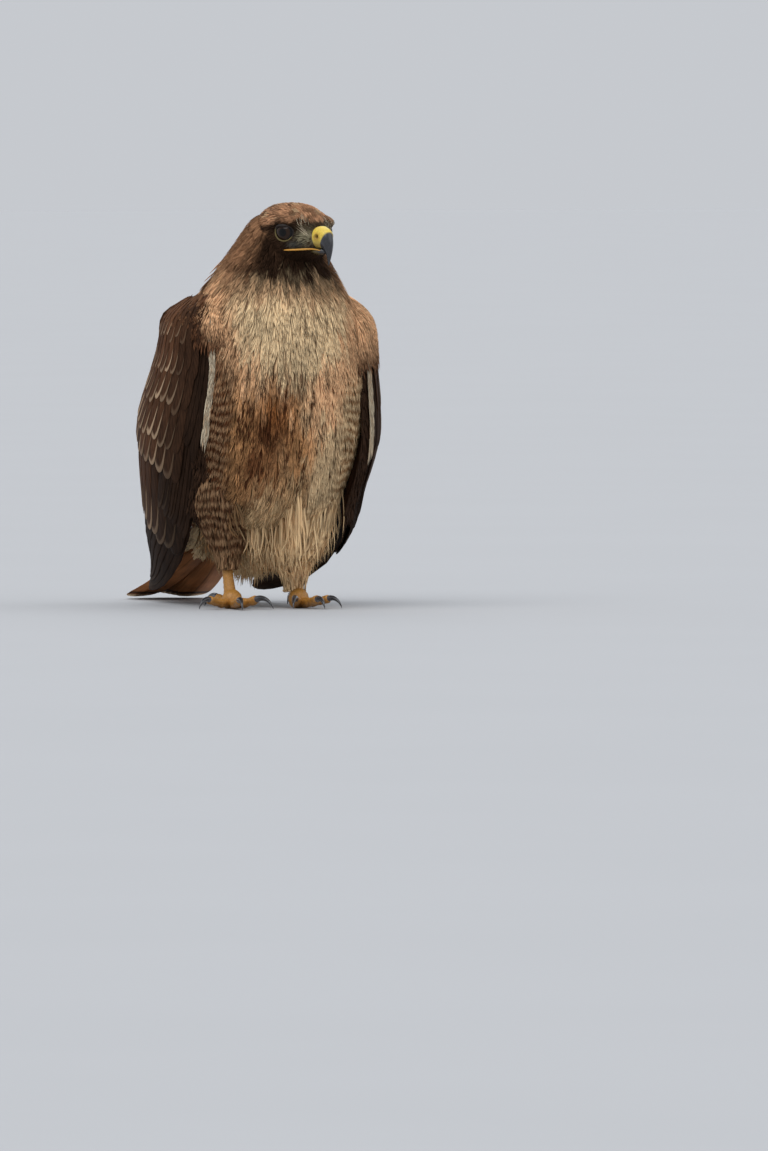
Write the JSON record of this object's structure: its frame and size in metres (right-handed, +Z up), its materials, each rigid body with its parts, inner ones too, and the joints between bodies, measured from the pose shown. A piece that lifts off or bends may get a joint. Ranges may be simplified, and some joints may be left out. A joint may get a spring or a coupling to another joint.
{
  "type": "red-tailed hawk",
  "caption": "Life-size still model of a red-tailed hawk standing upright on the floor, wings folded, head turned to its left, tail laid back to the floor.",
  "frame": {"origin": "centre of the bounding box's footprint, on the floor the bird stands on", "axes": "+Z up, -Y the way the body faces, +X the bird's left side"},
  "size_m": [0.2133, 0.3727, 0.3566],
  "materials": {
    "brown_plumage": "matt feathers",
    "dark_plumage": "matt feathers",
    "buff_plumage": "matt feathers",
    "rufous_tail": "matt feathers",
    "yellow_skin": "scaly skin",
    "black_horn": "smooth horn",
    "eye": "wet gloss"
  },
  "bodies": {
    "root": {"head": "brown_plumage", "neck": "brown_plumage", "torso": "buff_plumage", "tail": "rufous_tail", "wing_right": "dark_plumage", "wing_left": "dark_plumage", "thigh_right": "buff_plumage", "thigh_left": "buff_plumage", "eye_right": "eye", "eye_left": "eye", "cere": "yellow_skin", "bill_upper": "black_horn", "bill_lower": "black_horn", "tarsus_right": "yellow_skin", "tarsus_left": "yellow_skin", "foot_right": "yellow_skin", "foot_left": "yellow_skin", "claw_right_outer": "black_horn", "claw_right_middle": "black_horn", "claw_right_inner": "black_horn", "claw_right_hind": "black_horn", "claw_left_outer": "black_horn", "claw_left_middle": "black_horn", "claw_left_inner": "black_horn", "claw_left_hind": "black_horn"}
  },
  "joints": []
}
